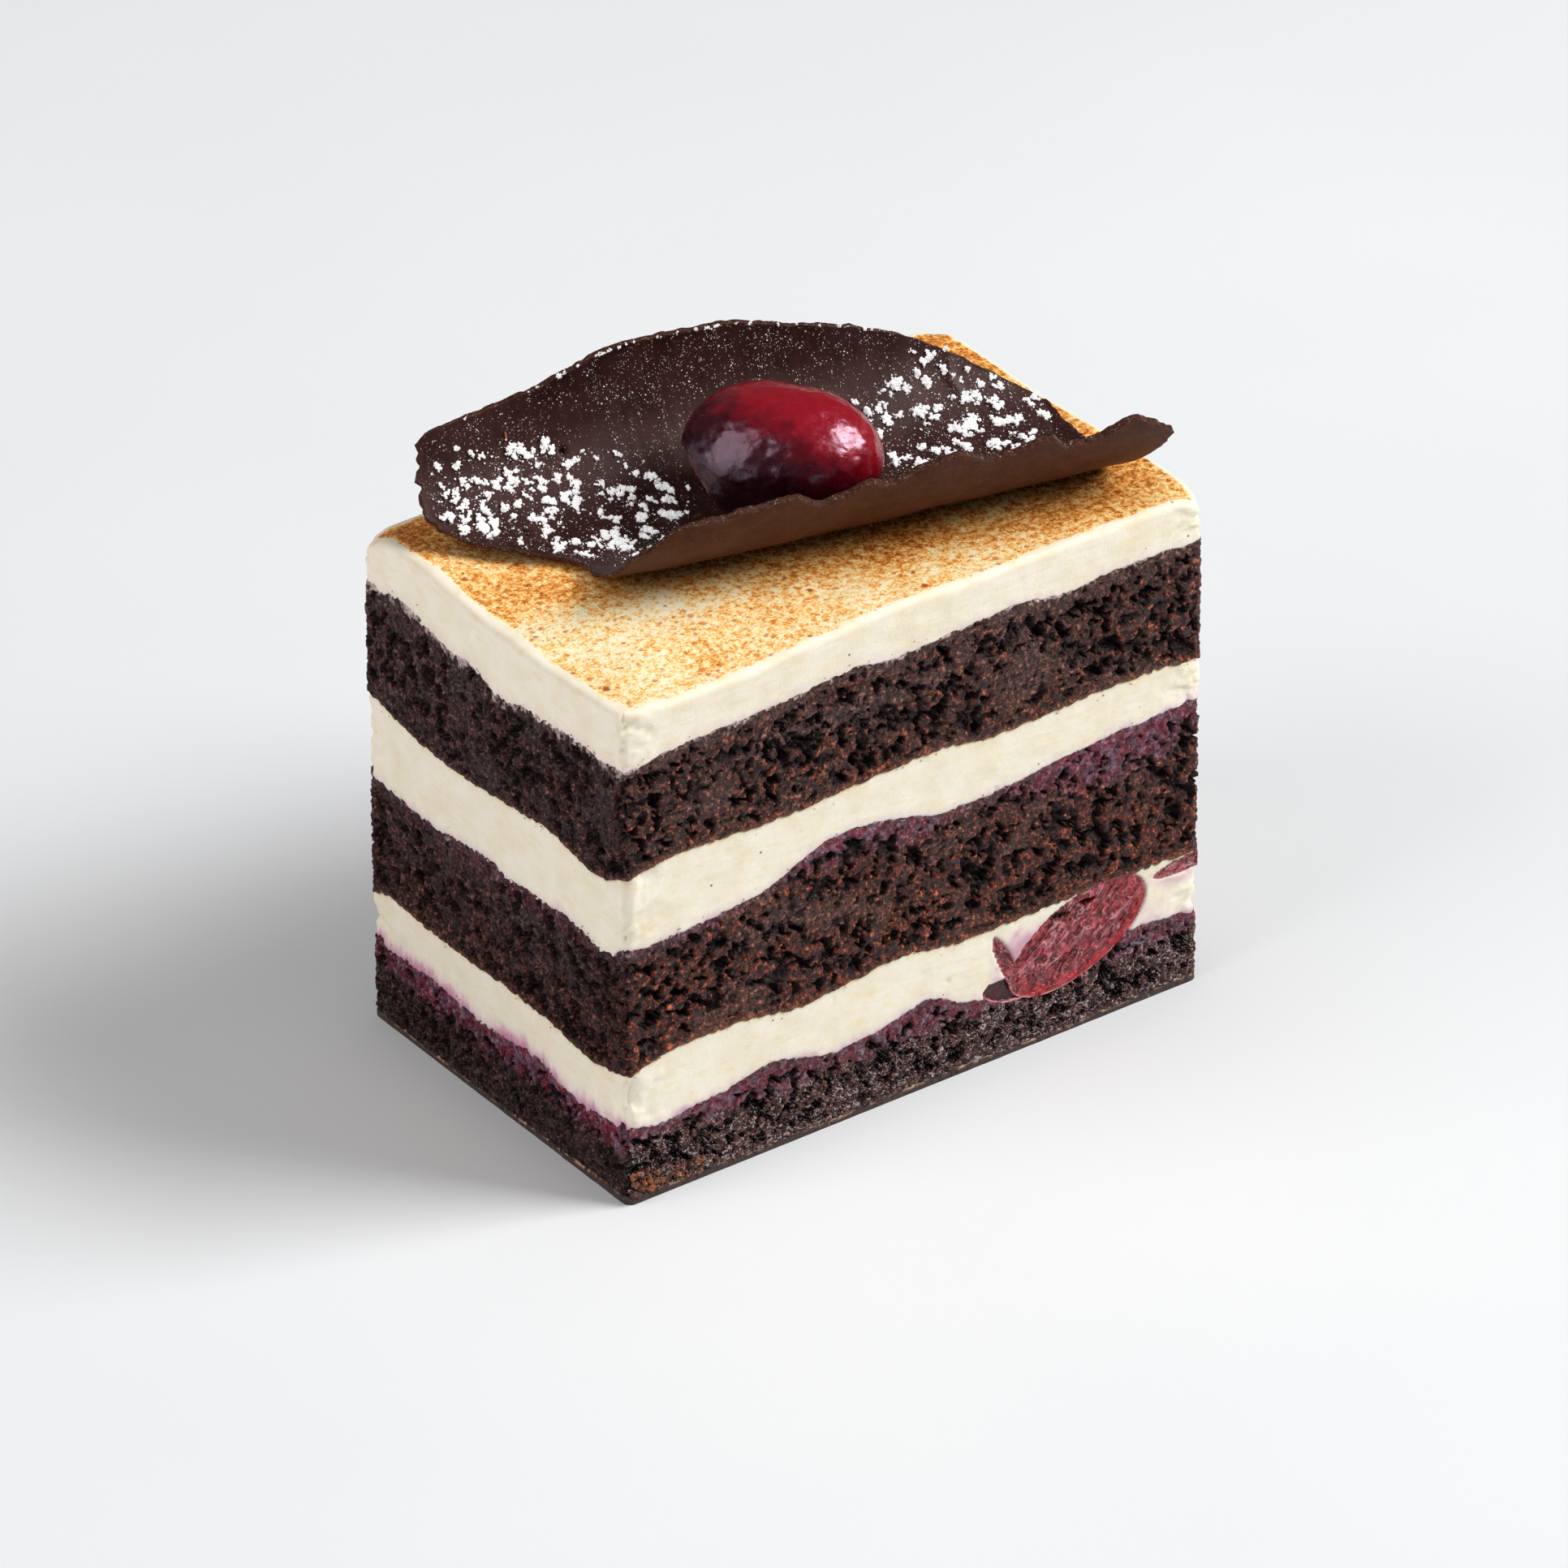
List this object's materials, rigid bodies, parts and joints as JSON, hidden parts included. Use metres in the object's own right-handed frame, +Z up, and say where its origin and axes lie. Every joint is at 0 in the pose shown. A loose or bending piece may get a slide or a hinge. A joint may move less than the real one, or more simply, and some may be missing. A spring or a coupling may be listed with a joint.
{
  "type": "black forest cake slice",
  "caption": "Block slice of layered chocolate sponge and cream, with a toasted cream top, a bent chocolate sheet dusted with icing sugar and a glossy cherry.",
  "frame": {"origin": "middle of the base, on the surface that the cake stands on", "axes": "+Z up, X along the long side, Y along the short side; the long cut face with the cut cherry faces -Y"},
  "size_m": [0.0912, 0.057, 0.0923],
  "materials": {
    "chocolate": "dark chocolate with a satin sheen",
    "sponge": "dark, open, moist cake crumb",
    "cream": "ivory whipped cream, smooth, cut by a knife",
    "toasted_cream": "ivory cream browned with a flame into golden and caramel speckles",
    "cherry": "wet glossy cherry skin",
    "cut_cherry": "moist cut cherry flesh with pale veins"
  },
  "bodies": {
    "root": {"chocolate_base": "chocolate", "sponge_bottom": "sponge", "cream_lower": "cream", "cherry_filling": "cut_cherry", "cherry_scrap": "cherry", "cherry_sliver": "cut_cherry", "sponge_middle": "sponge", "cream_upper": "cream", "sponge_top": "sponge", "cream_top": "toasted_cream", "chocolate_curl": "chocolate", "cherry_top": "cherry"}
  },
  "joints": []
}
